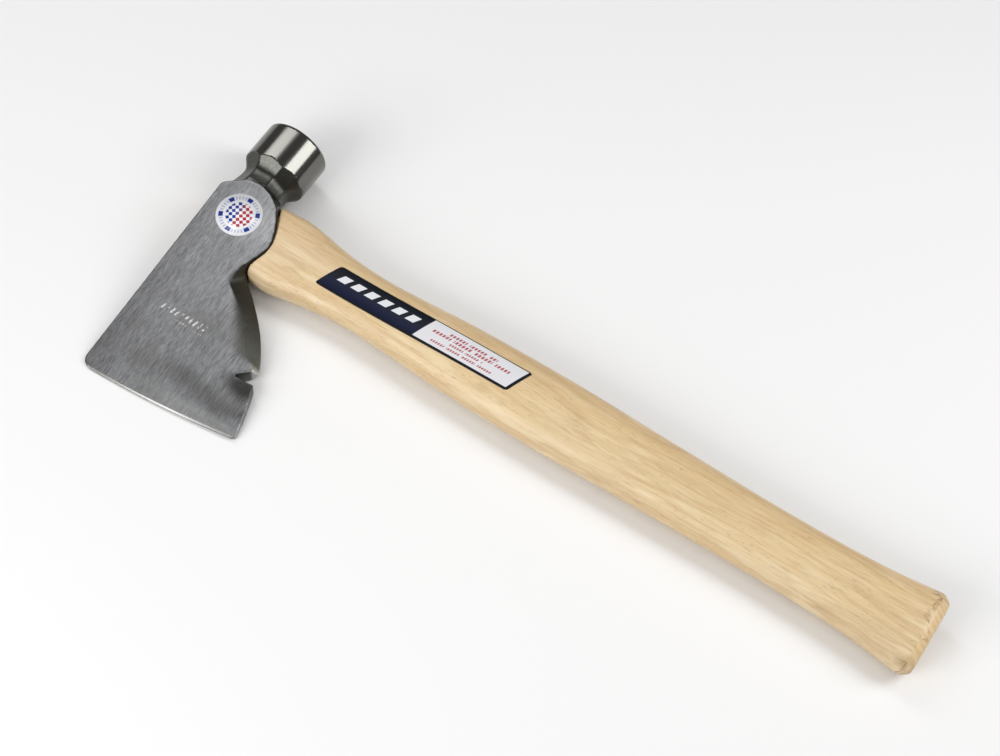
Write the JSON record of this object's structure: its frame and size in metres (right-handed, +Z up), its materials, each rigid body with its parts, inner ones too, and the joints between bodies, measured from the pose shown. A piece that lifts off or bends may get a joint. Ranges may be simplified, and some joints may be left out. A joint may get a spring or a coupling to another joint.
{
  "type": "half hatchet",
  "caption": "Half hatchet: forged steel head with a round striking poll, broad blade and V nail slot, wedged on a straight wooden handle with a flared butt.",
  "frame": {"origin": "centre of the bounding box on the bench that the tool lies on, flat on its side", "axes": "+X along the handle from the head to the butt, +Y towards the striking face of the poll, +Z up from the bench through the upper cheek"},
  "size_m": [0.4482, 0.176, 0.0408],
  "materials": {
    "forged_steel": "ground and brushed cheeks, darker forged neck, polished poll",
    "hickory": "sanded and clear lacquered, satin",
    "wedge_wood": "plain end grain",
    "wedge_steel": "plain dull steel",
    "label": "printed film, navy and white panels",
    "sticker": "printed film, white with blue and red marks"
  },
  "bodies": {
    "root": {"head": "forged_steel", "handle": "hickory", "wood_wedge": "wedge_wood", "steel_wedge_1": "wedge_steel", "steel_wedge_2": "wedge_steel", "handle_label": "label", "head_sticker": "sticker"}
  },
  "joints": []
}
